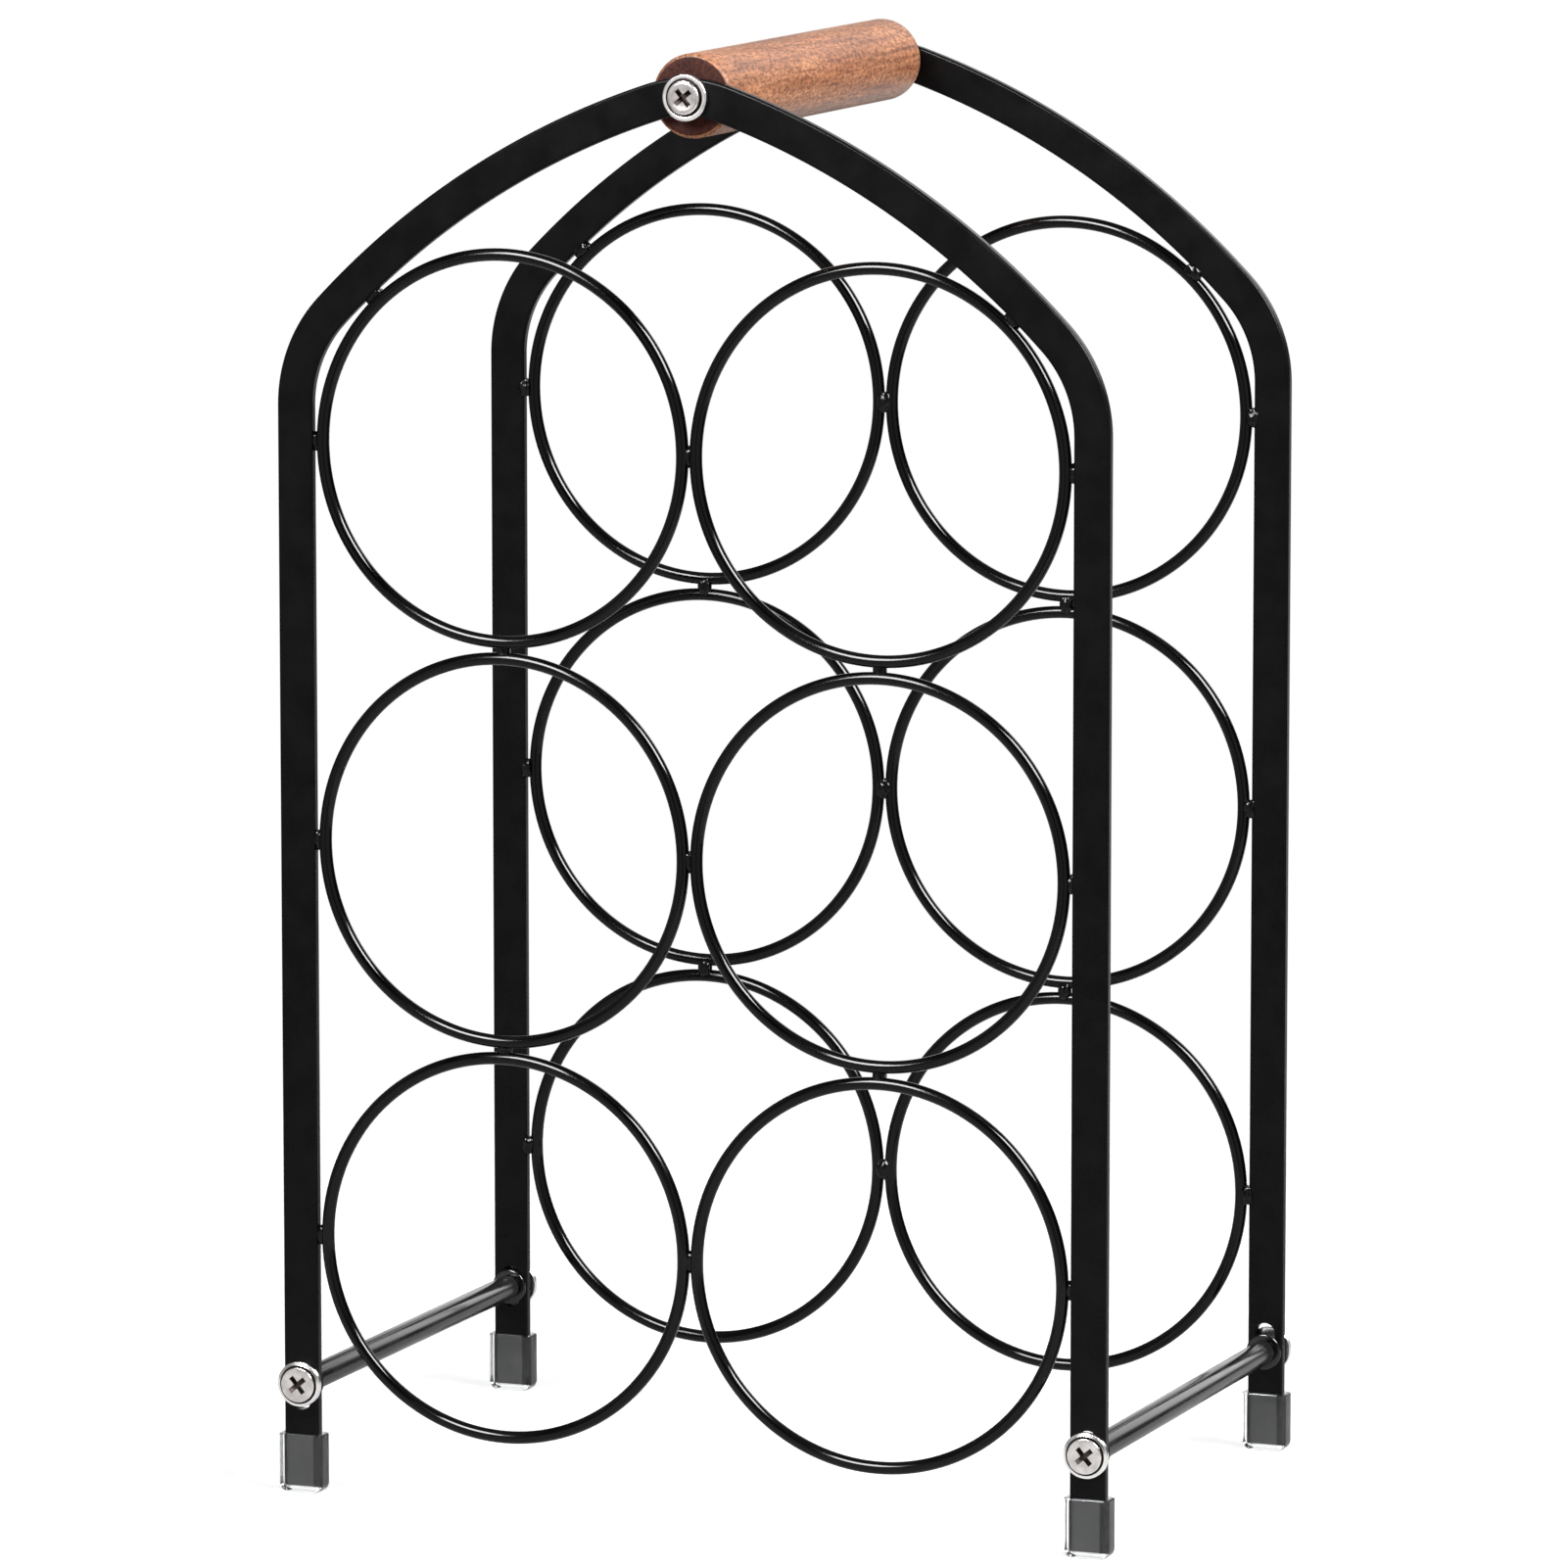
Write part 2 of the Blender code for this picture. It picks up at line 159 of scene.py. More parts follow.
# Clear caps on the feet
foot_height = 0.0152
foot_wall = 0.0011
foot_floor = 0.0014
foot_clearance = 0.0003
foot_corner = 0.0026
foot_corner_steps = 10
foot_edge = 0.0009
foot_side_radius = 0.0012
foot_side_steps = 8
foot_rim = 0.0004
foot_rim_steps = 4
foot_grip = 0.0011
grip_step = 0.0001

# Edges that are sharper than these angles keep their crease under smooth shading
crease_angle = math.radians(40.0)
screw_crease_angle = math.radians(30.0)
foot_crease_angle = math.radians(35.0)

# Points closer than this are one point, and edges shorter than this are slivers
merge_distance = 1e-7
sliver_size = 1e-6

SIDES = (("left", -1), ("right", 1))
FRAMES = (("front", -1), ("rear", 1))
ROWS = ("bottom", "middle", "top")


# Materials

bump_distance = 0.0001


def new_shader(name):
    material = bpy.data.materials.new(name)
    material.use_nodes = True
    tree = material.node_tree
    return material, tree, tree.nodes["Principled BSDF"]


def add_node(tree, kind, **values):
    node = tree.nodes.new(kind)
    for key, value in values.items():
        setattr(node, key, value)
    return node


def place_coordinates(tree, scale=(1.0, 1.0, 1.0), turn=0.0):
    # Object coordinates in metres, stretched, and turned about the middle of the handle
    source = add_node(tree, "ShaderNodeTexCoord")
    mapping = add_node(tree, "ShaderNodeMapping")
    mapping.inputs["Scale"].default_value = scale
    mapping.inputs["Rotation"].default_value = (0.0, turn, 0.0)
    mapping.inputs["Location"].default_value = (-handle_z * math.sin(turn), 0.0,
                                                handle_z * (1.0 - math.cos(turn)))
    tree.links.new(source.outputs["Object"], mapping.inputs["Vector"])
    return mapping.outputs["Vector"]


def add_noise(tree, vector, scale, detail=2.0, roughness=0.5):
    node = add_node(tree, "ShaderNodeTexNoise")
    node.inputs["Scale"].default_value = scale
    node.inputs["Detail"].default_value = detail
    node.inputs["Roughness"].default_value = roughness
    tree.links.new(vector, node.inputs["Vector"])
    return node.outputs["Fac"]


def add_range(tree, value, source, target):
    # Maps the source range to the target range, both as (low, high)
    node = add_node(tree, "ShaderNodeMapRange")
    for key, number in zip(("From Min", "From Max", "To Min", "To Max"), source + target):
        node.inputs[key].default_value = number
    tree.links.new(value, node.inputs["Value"])
    return node.outputs["Result"]


def add_ramp(tree, value, stops):
    node = add_node(tree, "ShaderNodeValToRGB")
    ramp = node.color_ramp
    while len(ramp.elements) < len(stops):
        ramp.elements.new(0.5)
    for element, (position, colour) in zip(ramp.elements, stops):
        element.position = position
        element.color = (*colour, 1.0)
    tree.links.new(value, node.inputs["Fac"])
    return node.outputs["Color"]


def add_bump(tree, shader, height, strength):
    node = add_node(tree, "ShaderNodeBump")
    node.inputs["Strength"].default_value = strength
    node.inputs["Distance"].default_value = bump_distance
    tree.links.new(height, node.inputs["Height"])
    tree.links.new(node.outputs["Normal"], shader.inputs["Normal"])


def multiply_colours(tree, first, second):
    node = add_node(tree, "ShaderNodeMix", data_type="RGBA", blend_type="MULTIPLY")
    factor, colour_a, colour_b = (node.inputs[index] for index in (0, 6, 7))
    factor.default_value = 1.0
    tree.links.new(first, colour_a)
    tree.links.new(second, colour_b)
    return node.outputs[2]


def black_coat(name, dark, light, rough, level, grain, bump):
    # A black coat with a faint mottle, an uneven gloss and a fine orange peel
    material, tree, shader = new_shader(name)
    vector = place_coordinates(tree)
    mottle = add_noise(tree, vector, scale=grain / 12, detail=3.0)
    fine = add_noise(tree, vector, scale=grain)
    tree.links.new(add_ramp(tree, mottle, ((0.35, dark), (0.68, light))), shader.inputs["Base Color"])
    tree.links.new(add_range(tree, mottle, (0.35, 0.65), rough), shader.inputs["Roughness"])
    shader.inputs["Specular IOR Level"].default_value = level
    add_bump(tree, shader, fine, strength=bump)
    return material


def plated_metal(name, dark, light, rough, grain):
    # Metal with faint clouds in its colour and an uneven gloss
    material, tree, shader = new_shader(name)
    vector = place_coordinates(tree)
    cloud = add_noise(tree, vector, scale=350.0, detail=3.0)
    fine = add_noise(tree, vector, scale=grain)
    tree.links.new(add_ramp(tree, cloud, ((0.35, dark), (0.65, light))), shader.inputs["Base Color"])
    tree.links.new(add_range(tree, fine, (0.3, 0.7), rough), shader.inputs["Roughness"])
    shader.inputs["Metallic"].default_value = 1.0
    add_bump(tree, shader, fine, strength=0.02)
    return material


def varnished_wood(name, tones, speckle, streak_scale, rough, level):
    # Streaks, and over them fine dark lines, soft clouds and specks. All are drawn out along Y
    material, tree, shader = new_shader(name)
    streak_place, line_place, speck_place = (
        place_coordinates(tree, (1.0, scale, 1.0), grain_turn_for_shade) for scale in (streak_scale, 0.04, 0.45))
    streaks = add_noise(tree, streak_place, scale=420.0, detail=6.0, roughness=0.66)
    lines = add_noise(tree, line_place, scale=1100.0)
    clouds = add_noise(tree, speck_place, scale=90.0, detail=3.0)
    specks = add_noise(tree, speck_place, scale=1250.0, detail=3.0, roughness=0.70)
    colour = add_ramp(tree, streaks, tones)
    for layer, stops in (
            (lines, ((0.36, (0.70, 0.63, 0.60)), (0.50, (1.0, 1.0, 1.0)))),
            (clouds, ((0.3, (0.86, 0.84, 0.82)), (0.7, (1.1, 1.08, 1.06)))),
            (specks, speckle)):
        colour = multiply_colours(tree, colour, add_ramp(tree, layer, stops))
    tree.links.new(colour, shader.inputs["Base Color"])
    tree.links.new(add_range(tree, streaks, (0.3, 0.7), rough), shader.inputs["Roughness"])
    shader.inputs["Specular IOR Level"].default_value = level
    shader.inputs["Sheen Weight"].default_value = 0.22
    shader.inputs["Sheen Roughness"].default_value = 0.30
    add_bump(tree, shader, specks, strength=0.25)
    return material


def clear_soft_plastic(name, density):
    material, tree, shader = new_shader(name)
    cloud = add_noise(tree, place_coordinates(tree), scale=500.0)
    tint = add_ramp(tree, cloud, ((0.3, (0.93, 0.94, 0.95)), (0.7, (0.98, 0.98, 0.98))))
    tree.links.new(tint, shader.inputs["Base Color"])
    tree.links.new(add_range(tree, cloud, (0.3, 0.7), (0.05, 0.12)), shader.inputs["Roughness"])
    shader.inputs["Transmission Weight"].default_value = 1.0
    shader.inputs["IOR"].default_value = density
    add_bump(tree, shader, cloud, strength=0.05)
    return material


bar_black = black_coat("satin_black_coat", dark=(0.0030, 0.0030, 0.0034), light=(0.0052, 0.0052, 0.0060),
                       rough=(0.25, 0.32), level=0.095, grain=1400.0, bump=0.10)
wire_black = black_coat("gloss_black_coat", dark=(0.0010, 0.0010, 0.0012), light=(0.0022, 0.0022, 0.0025),
                        rough=(0.09, 0.15), level=0.22, grain=900.0, bump=0.02)
weld_black = black_coat("weld_black_coat", dark=(0.0010, 0.0010, 0.0012), light=(0.0026, 0.0026, 0.0030),
                        rough=(0.10, 0.22), level=0.24, grain=1200.0, bump=0.25)
collar_black = black_coat("collar_coat", dark=(0.0015, 0.0015, 0.0017), light=(0.0040, 0.0040, 0.0044),
                          rough=(0.10, 0.16), level=0.60, grain=900.0, bump=0.04)
rod_black = black_coat("rod_coat", dark=(0.020, 0.020, 0.021), light=(0.034, 0.034, 0.035),
                       rough=(0.14, 0.22), level=0.34, grain=900.0, bump=0.06)
# Nickel for the rims and shanks, brighter than the face: partly the plating's own colour, partly a
# painted reflection that keeps the rims bright all round
nickel = plated_metal("nickel_plate", dark=(0.86, 0.83, 0.82), light=(0.96, 0.94, 0.93),
                      rough=(0.18, 0.23), grain=500.0)
nickel_face = plated_metal("brushed_nickel", dark=(0.60, 0.565, 0.55), light=(0.82, 0.78, 0.765),
                           rough=(0.16, 0.24), grain=2000.0)
# Near-black metal for the cross recess and the groove of the screw heads: painted shade in the hollows
painted_recess_shade = plated_metal("recess_painted_shade", dark=(0.020, 0.015, 0.014), light=(0.08, 0.064, 0.060),
                           rough=(0.40, 0.60), grain=1500.0)
brass = plated_metal("brass", dark=(0.60, 0.42, 0.17), light=(0.74, 0.54, 0.24),
                     rough=(0.25, 0.38), grain=1500.0)
# The darkest tone makes the streak along the lower part of the handle's side: grain colour, partly
# painted shade
handle_side = varnished_wood(
    "varnished_wood",
    tones=((0.28, (0.335, 0.108, 0.042)), (0.5, (0.53, 0.216, 0.102)), (0.72, (0.68, 0.320, 0.168))),
    speckle=((0.36, (0.46, 0.38, 0.34)), (0.48, (0.96, 0.94, 0.93)), (0.62, (1.40, 1.52, 1.54))),
    streak_scale=0.07, rough=(0.46, 0.58), level=0.32)
handle_end = varnished_wood(
    "end_grain",
    tones=((0.25, (0.055, 0.014, 0.009)), (0.5, (0.090, 0.024, 0.016)), (0.75, (0.14, 0.040, 0.027))),
    speckle=((0.34, (0.50, 0.42, 0.40)), (0.48, (1.0, 1.0, 1.0)), (0.66, (1.5, 1.5, 1.5))),
    streak_scale=0.35, rough=(0.50, 0.62), level=0.10)
clear_plastic = clear_soft_plastic("clear_soft_plastic", density=1.52)
gripping_plastic = clear_soft_plastic("gripping_plastic", density=1.0)


# Shapes

def shade(mesh, angle):
    mesh.shade_smooth()
    mesh.set_sharp_from_angle(angle=angle)


def new_object(name, body, *materials, smooth=True):
    mesh = bpy.data.meshes.new(name)
    bmesh.ops.recalc_face_normals(body, faces=body.faces)
    body.to_mesh(mesh)
    body.free()
    item = bpy.data.objects.new(name, mesh)
    bpy.context.scene.collection.objects.link(item)
    for material in materials:
        mesh.materials.append(material)
    if smooth:
        shade(mesh, crease_angle)
    return item


def stand_for(item, slot, *nodes):
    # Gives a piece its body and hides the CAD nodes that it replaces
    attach(item, "root")
    if nodes:
        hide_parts(*nodes)


def apply_modifiers(item):
    bpy.context.view_layer.update()
    graph = bpy.context.evaluated_depsgraph_get()
    mesh = bpy.data.meshes.new_from_object(item.evaluated_get(graph))
    old = item.data
    item.modifiers.clear()
    item.data = mesh
    bpy.data.meshes.remove(old)


def drop_slivers(item):
    # Removes the faces and edges without a size that a cut or a bevel leaves
    body = bmesh.new()
    body.from_mesh(item.data)
    bmesh.ops.dissolve_degenerate(body, dist=sliver_size, edges=body.edges)
    body.to_mesh(item.data)
    body.free()


def cut(item, cutters):
    # Cuts the item with every cutter, and removes the cutters
    for cutter in cutters:
        step = item.modifiers.new(cutter.name, "BOOLEAN")
        step.operation = "DIFFERENCE"
        step.solver = "EXACT"
        step.material_mode = "TRANSFER"
        step.object = cutter
    apply_modifiers(item)
    drop_slivers(item)
    for cutter in cutters:
        bpy.data.objects.remove(cutter, do_unlink=True)


def soften_holes(item):
    # Rounds the sharp edges that the cutters leave
    edges = item.modifiers.new("Edges", "BEVEL")
    edges.width = hole_edge_width
    edges.segments = hole_edge_steps
    edges.limit_method = "ANGLE"
    edges.angle_limit = hole_edge_angle
    edges.harden_normals = True
    edges.use_clamp_overlap = True
    apply_modifiers(item)
    drop_slivers(item)


def even_normals(item):
    # Lets the large faces keep their own direction
    even = item.modifiers.new("Normals", "WEIGHTED_NORMAL")
    even.weight = 100
    even.keep_sharp = True
    apply_modifiers(item)


def arc(centre_x, centre_z, radius, start, end, steps):
    # Points from the start angle to the end angle, both included
    points = []
    for step in range(steps + 1):
        angle = start + (end - start) * step / steps
        points.append((centre_x + radius * math.cos(angle), centre_z + radius * math.sin(angle)))
    return points


def arch_edge(offset):
    # One whole edge of the bar, from the right foot over the top to the left foot
    right = [(bar_inner_x + offset, bar_end_z)]
    right += arc(*shoulder_centre, shoulder_radius + offset, 0.0, shoulder_end, shoulder_steps)
    right += arc(*arm_centre, arm_radius + offset, shoulder_end, apex_start, arm_steps)[1:]
    right += arc(*apex_centre, apex_radius + offset, apex_start, math.pi / 2, apex_steps)[1:]
    return right + [(-x, z) for x, z in reversed(right[:-1])]


def rounded_rectangle(low_x, high_x, half_y, radius, steps):
    points = []
    corners = ((high_x, half_y), (low_x, half_y), (low_x, -half_y), (high_x, -half_y))
    for quarter_turn, (x, y) in enumerate(corners):
        start = quarter_turn * math.pi / 2
        inner_x = x - math.copysign(radius, x - (low_x + high_x) / 2)
        points += arc(inner_x, y - math.copysign(radius, y), radius, start, start + math.pi / 2, steps)
    return points


def box_outline(low_x, high_x, low_z, high_z):
    return [(low_x, low_z), (high_x, low_z), (high_x, high_z), (low_x, high_z)]


def slot_outline(x, z):
    run = (slot_length - slot_width) / 2
    radius = slot_width / 2
    upper = arc(x, z + run, radius, 0.0, math.pi, half_circle_steps)
    return upper + arc(x, z - run, radius, math.pi, 2 * math.pi, half_circle_steps)


def bridge(body, first, second):
    # Joins two closed loops with a band of faces. A loop of one point makes it a fan
    count = max(len(first), len(second))
    for index in range(count):
        after = (index + 1) % count
        if len(first) == 1:
            corners = (first[0], second[index], second[after])
        elif len(second) == 1:
            corners = (first[index], first[after], second[0])
        else:
            corners = (first[index], first[after], second[after], second[index])
        body.faces.new(corners)


def prism(name, outline, y_low, y_high, *materials):
    # A closed solid over a convex outline in X and Z
    body = bmesh.new()
    low = [body.verts.new((x, y_low, z)) for x, z in outline]
    high = [body.verts.new((x, y_high, z)) for x, z in outline]
    body.faces.new(low)
    body.faces.new(high[::-1])
    bridge(body, low, high)
    return new_object(name, body, *materials, smooth=False)


def make_bar(name, y, height):
    # Lofted from lines that run along the whole bar. Across is measured from its inner edge
    section = rounded_rectangle(0.0, bar_width, bar_half_thickness, bar_edge_radius, bar_edge_steps)
    body = bmesh.new()
    lines = []
    for across, depth in section:
        lines.append([body.verts.new((x, y + depth, z)) for x, z in arch_edge(across)])
    for index, first in enumerate(lines):
        second = lines[(index + 1) % len(lines)]
        for station in range(len(first) - 1):
            body.faces.new((first[station], second[station], second[station + 1], first[station + 1]))
    body.faces.new([line[0] for line in lines])
    body.faces.new([line[-1] for line in reversed(lines)])
    bar = new_object(name, body, bar_black)
    past = bar_half_thickness + cutter_overrun
    cutters = [prism(name + "_slot_" + side, slot_outline(sign * leg_x, height), y - past, y + past)
               for side, sign in SIDES]
    hole = arc(0.0, handle_z, handle_hole_radius, 0.0, 2 * math.pi, 2 * half_circle_steps)[:-1]
    cutters.append(prism(name + "_hole", hole, y - past, y + past))
    cut(bar, cutters)
    soften_holes(bar)
    bar.data.shade_smooth()
    even_normals(bar)
    return bar


def make_ring(name, x, y, z):
    body = bmesh.new()
    loops = []
    for step in range(ring_steps):
        turn = 2 * math.pi * step / ring_steps
        loop = []
        for part in range(wire_steps):
            angle = 2 * math.pi * part / wire_steps
            reach = ring_centre_radius + wire_radius * math.cos(angle)
            place = (x + reach * math.cos(turn), y + wire_radius * math.sin(angle),
                     z + reach * math.sin(turn))
            loop.append(body.verts.new(place))
        loops.append(loop)
    for step, loop in enumerate(loops):
        bridge(body, loop, loops[(step + 1) % ring_steps])
    return new_object(name, body, wire_black)


def add_weld(body, centre, outward_angle, kind, seed):
    # A lumpy drop of weld metal. Outward is the direction of its neighbour
    length, width, first_seed = weld_kinds[kind]
    shift = Vector((seed + first_seed, lump_step * (seed + first_seed), 0.0))
    made = bmesh.ops.create_icosphere(body, subdivisions=weld_subdivisions, radius=1.0)
    outward = Vector((math.cos(outward_angle), 0.0, math.sin(outward_angle)))
    along = Vector((-math.sin(outward_angle), 0.0, math.cos(outward_angle)))
    for vert in made["verts"]:
        point = vert.co.copy()
        lump = 1.0 + lump_size * noise.noise(point * lump_pitch + shift)
        # Squarer than a sphere, as a drop pulled into the gap
        square = Vector([math.copysign(abs(value) ** lump_squareness, value) for value in point])
        offset = outward * (square.x * length / 2) + along * (square.z * width / 2)
        offset.y += square.y * weld_depth / 2
        vert.co = centre + offset * lump


def make_welds(label, y, direction):
    body = bmesh.new()
    inside = y - direction * weld_inset
    seed = weld_seeds[label]
    contact = ring_outer_radius + arm_weld_gap
    for row, z in enumerate(ring_row_z):
        add_weld(body, Vector((0.0, inside, z)), 0.0, "columns", seed + row)
        for sign in (-1, 1):
            x = sign * ring_column_x
            leg_point = Vector((sign * (bar_inner_x - leg_weld_gap), inside, z))
            add_weld(body, leg_point, 0.0, "leg", seed + row + sign)
            if row < len(ring_row_z) - 1:
                middle = (z + ring_row_z[row + 1]) / 2
                add_weld(body, Vector((x, inside, middle)), math.pi / 2, "rows", seed + row + sign)
            else:
                angle = arm_weld_angle if sign > 0 else math.pi - arm_weld_angle
                point = Vector((x + contact * math.cos(angle), inside, z + contact * math.sin(angle)))
                add_weld(body, point, angle, "arm", seed + sign)
    return new_object(label + "_welds", body, weld_black)


def lathe(name, profile, sides, placement, *materials):
    # Turns a closed profile of (radius, height) points about the Z axis
    body = bmesh.new()
    loops = []
    for radius, height in profile:
        if radius == 0.0:
            loops.append([body.verts.new((0.0, 0.0, height))])
        else:
            loops.append([body.verts.new((radius * math.cos(2 * math.pi * step / sides),
                                          radius * math.sin(2 * math.pi * step / sides), height))
                          for step in range(sides)])
    for first, second in zip(loops, loops[1:]):
        bridge(body, first, second)
    bmesh.ops.remove_doubles(body, verts=body.verts, dist=merge_distance)
    body.transform(placement)
    return new_object(name, body, *materials)


def along_y(x, y, z, direction):
    # Turns +Z to the front (-1) or to the rear (1), and moves the shape to its place
    turn = Matrix.Rotation(-direction * math.pi / 2, 4, "X")
    return Matrix.Translation((x, y, z)) @ turn


def quarter(radius, height, size, steps):
    # A rounded outer edge, from the face down to the side
    return [(radius - size + size * math.sin(math.pi / 2 * step / steps),
             height - size + size * math.cos(math.pi / 2 * step / steps)) for step in range(steps + 1)]


def mirrored(half):
    # The same points with their heights turned over, in the other order
    return [(radius, -height) for radius, height in reversed(half)]


def cross_cutters(name, placement, face):
    # Two crossed wedges that taper as they go down. They leave a near-black material in the recess as
    # painted shade
    half_span = recess_span / 2
    half_width = recess_width / 2
    rim = ((-half_span, -half_width), (half_span, -half_width), (half_span, half_width),
           (-half_span, half_width))
    scale_x, scale_y = recess_floor_scale
    result = []
    for index, turn in enumerate(recess_turns):
        body = bmesh.new()
        above = [body.verts.new((x * recess_rise_scale, y * recess_rise_scale, face + recess_rise))
                 for x, y in rim]
        below = [body.verts.new((x * scale_x, y * scale_y, face - recess_depth)) for x, y in rim]
        body.faces.new(above)
        body.faces.new(below[::-1])
        bridge(body, above, below)
        body.transform(placement @ Matrix.Rotation(turn, 4, "Z"))
        result.append(new_object(name + str(index), body, painted_recess_shade, smooth=False))
    return result


def make_screw(name, x, z, direction, head):
    # A truss head with a ring-shaped groove, and a shank with a small chamfer at its tip
    placement = along_y(x, direction * screw_seat_y, z, direction)
    face = head["face"]
    groove_inner, groove_outer = head["groove"]
    profile = [(radius, face - depth) for radius, depth in head["middle"]]
    profile += quarter(groove_inner, face, head["face_edge"], head["face_steps"])
    profile += [(groove_inner + groove_slope, head["groove_floor"]),
                (groove_outer - groove_slope, head["groove_floor"]), (groove_outer, head["groove_top"])]
    profile += quarter(screw_radius, head["rim"], head["rim_edge"], rim_edge_steps)
    profile += [(screw_radius, head_edge), (screw_radius - head_edge, 0.0), (shank_radius, 0.0),
                (shank_radius, shank_tip - screw_length), (shank_radius - shank_tip, -screw_length),
                (0.0, -screw_length)]
    screw = lathe(name, profile, screw_sides, placement, nickel, nickel_face, painted_recess_shade)
    for polygon in screw.data.polygons:
        reach = math.hypot(polygon.center.x - x, polygon.center.z - z)
        if abs(polygon.center.y) < screw_seat_y + head_base:
            continue
        # The flat face takes the face nickel, and the groove takes the near-black metal as painted shade
        if abs(polygon.normal.y) > 0.95 and reach < groove_inner:
            polygon.material_index = 1
        elif groove_inner < reach < groove_outer:
            polygon.material_index = 2
    cut(screw, cross_cutters(name, placement, face))
    shade(screw.data, screw_crease_angle)
    return screw


def make_washer(name, x, y, z):
    profile = [(screw_bore_radius, washer_half_thickness)]
    profile += quarter(washer_radius, washer_half_thickness, washer_edge, washer_edge_steps)
    profile += mirrored(profile)
    profile.append(profile[0])
    return lathe(name, profile, washer_sides, along_y(x, y, z, 1), collar_black)


def make_rod(name, x, z):
    half = [(0.0, bore_end_y), (screw_bore_radius, bore_end_y), (screw_bore_radius, rod_end_y)]
    half += quarter(rod_radius, rod_end_y, rod_edge, rod_edge_steps)
    return lathe(name, half + mirrored(half), rod_sides, along_y(x, 0.0, z, 1), rod_black)


def make_handle(name):
    half = [(0.0, bore_end_y), (insert_bore_radius, bore_end_y), (insert_bore_radius, handle_end_y),
            (handle_face_radius, handle_end_y)]
    half += quarter(handle_radius, handle_end_y, handle_edge, handle_edge_steps)
    rings = [(handle_radius, ring / handle_rings * handle_ring_reach)
             for ring in range(handle_rings - 1, -handle_rings, -1)]
    handle = lathe(name, half + rings + mirrored(half), handle_sides, along_y(0.0, 0.0, handle_z, 1),
                   handle_side, handle_end)
    for polygon in handle.data.polygons:
        if abs(polygon.normal.y) > 0.9:
            polygon.material_index = 1
    return handle


def round_inset(height, radius):
    # How far a round edge of this radius draws in, at a height above its lowest point
    if height >= radius:
        return 0.0
    return radius - math.sqrt(radius ** 2 - (radius - height) ** 2)


def make_foot(name, x, y):
    inner_x = bar_width / 2 + foot_clearance
    inner_y = bar_half_thickness + foot_clearance
    stations = [foot_corner * (1.0 - math.cos(math.pi / 2 * step / foot_corner_steps))
                for step in range(foot_corner_steps + 1)]
    stations += [foot_height - foot_rim * math.cos(math.pi / 2 * step / foot_rim_steps)
                 for step in range(foot_rim_steps + 1)]
    body = bmesh.new()
    loops = []
    for height in stations:
        rim = round_inset(foot_height - height, foot_rim)
        half_x = inner_x + foot_wall - round_inset(height, foot_corner) - rim
        half_y = inner_y + foot_wall - round_inset(height, foot_edge) - rim
        section = rounded_rectangle(-half_x, half_x, half_y, foot_side_radius - rim, foot_side_steps)
        loops.append([body.verts.new((x + across, y + depth, height)) for across, depth in section])
    for first, second in zip(loops, loops[1:]):
        bridge(body, first, second)
    body.faces.new(loops[0][::-1])
    body.faces.new(loops[-1])
    foot = new_object(name, body, clear_plastic)
    # The pocket clears the bar in the middle. It holds the bar tightly along both edges, so the
    # plastic neither bends nor mirrors light there
    flat_x = bar_width / 2 - foot_grip
    grip_y = inner_y - grip_step
    above = foot_height + cutter_overrun
    cutters = [prism(name + "_pocket", box_outline(x - flat_x, x + flat_x, foot_floor, above),
                     y - inner_y, y + inner_y, clear_plastic)]
    for side, sign in SIDES:
        low_x, high_x = sorted((x + sign * (flat_x - grip_step), x + sign * inner_x))
        cutters.append(prism(name + "_grip_" + side,
                             box_outline(low_x, high_x, foot_floor + grip_step, above),
                             y - grip_y, y + grip_y, gripping_plastic))
    cut(foot, cutters)
    shade(foot.data, foot_crease_angle)
    even_normals(foot)
    return foot


# The rack

for label, sign_y in FRAMES:
    y_middle = sign_y * frame_y
    stand_for(make_bar(label + "_arch_bar", y_middle, slot_z[label]), "satin_black", label + "_frame_bar")
    for side_name, sign_x in SIDES:
        for row_name, row_z in zip(ROWS, ring_row_z):
            tail = row_name + "_" + side_name
            ring = make_ring(label + "_wire_ring_" + tail, sign_x * ring_column_x, y_middle, row_z)
            stand_for(ring, "gloss_black", label + "_ring_" + tail)
        corner_name = label + "_" + side_name
        place_x = sign_x * leg_x
        height_z = rod_z[side_name]
        stand_for(make_screw(corner_name + "_truss_screw", place_x, height_z, sign_y, flat_head),
                  "screw_nickel", corner_name + "_screw")
        stand_for(make_washer(corner_name + "_collar", place_x, sign_y * washer_middle_y, height_z),
                  "satin_black", corner_name + "_washer")
        stand_for(make_foot(corner_name + "_clear_cap", place_x, y_middle),
                  "foot_clear", corner_name + "_foot")
    stand_for(make_welds(label, y_middle, sign_y), "gloss_black")
    stand_for(make_screw(label + "_handle_screw", 0.0, handle_z, sign_y, stepped_head),
              "screw_nickel", "handle_screw_" + label)

for side_name, sign_x in SIDES:
    stand_for(make_rod(side_name + "_rod", sign_x * leg_x, rod_z[side_name]),
              "rod_grey", side_name + "_crossbar")

stand_for(make_handle("turned_handle"), "handle_wood", "carry_handle")

node_materials = {"satin_black": bar_black, "gloss_black": wire_black, "rod_grey": rod_black,
                  "screw_nickel": nickel, "insert_brass": brass, "handle_wood": handle_side,
                  "foot_clear": clear_plastic}
for part in frame["record"]["subparts"]:
    node = frame["nodes"][part["node"]]
    node.data.materials.clear()
    node.data.materials.append(node_materials[part["material_slot"]])


# Floor, light and camera

# Floor: its size, how much light it throws back, and how that differs by what looks at it
floor_radius = 0.55
floor_sides = 96
floor_white = 0.82
floor_glow = 0.56
mirrored_glow = 0.09
diffuse_loss = 0.42
front_loss = 0.02
front_loss_y = (-0.10, 0.02)

# Brightness of the world as light, and of the studio between its panels
world_light = 0.24
studio_dark = 0.05

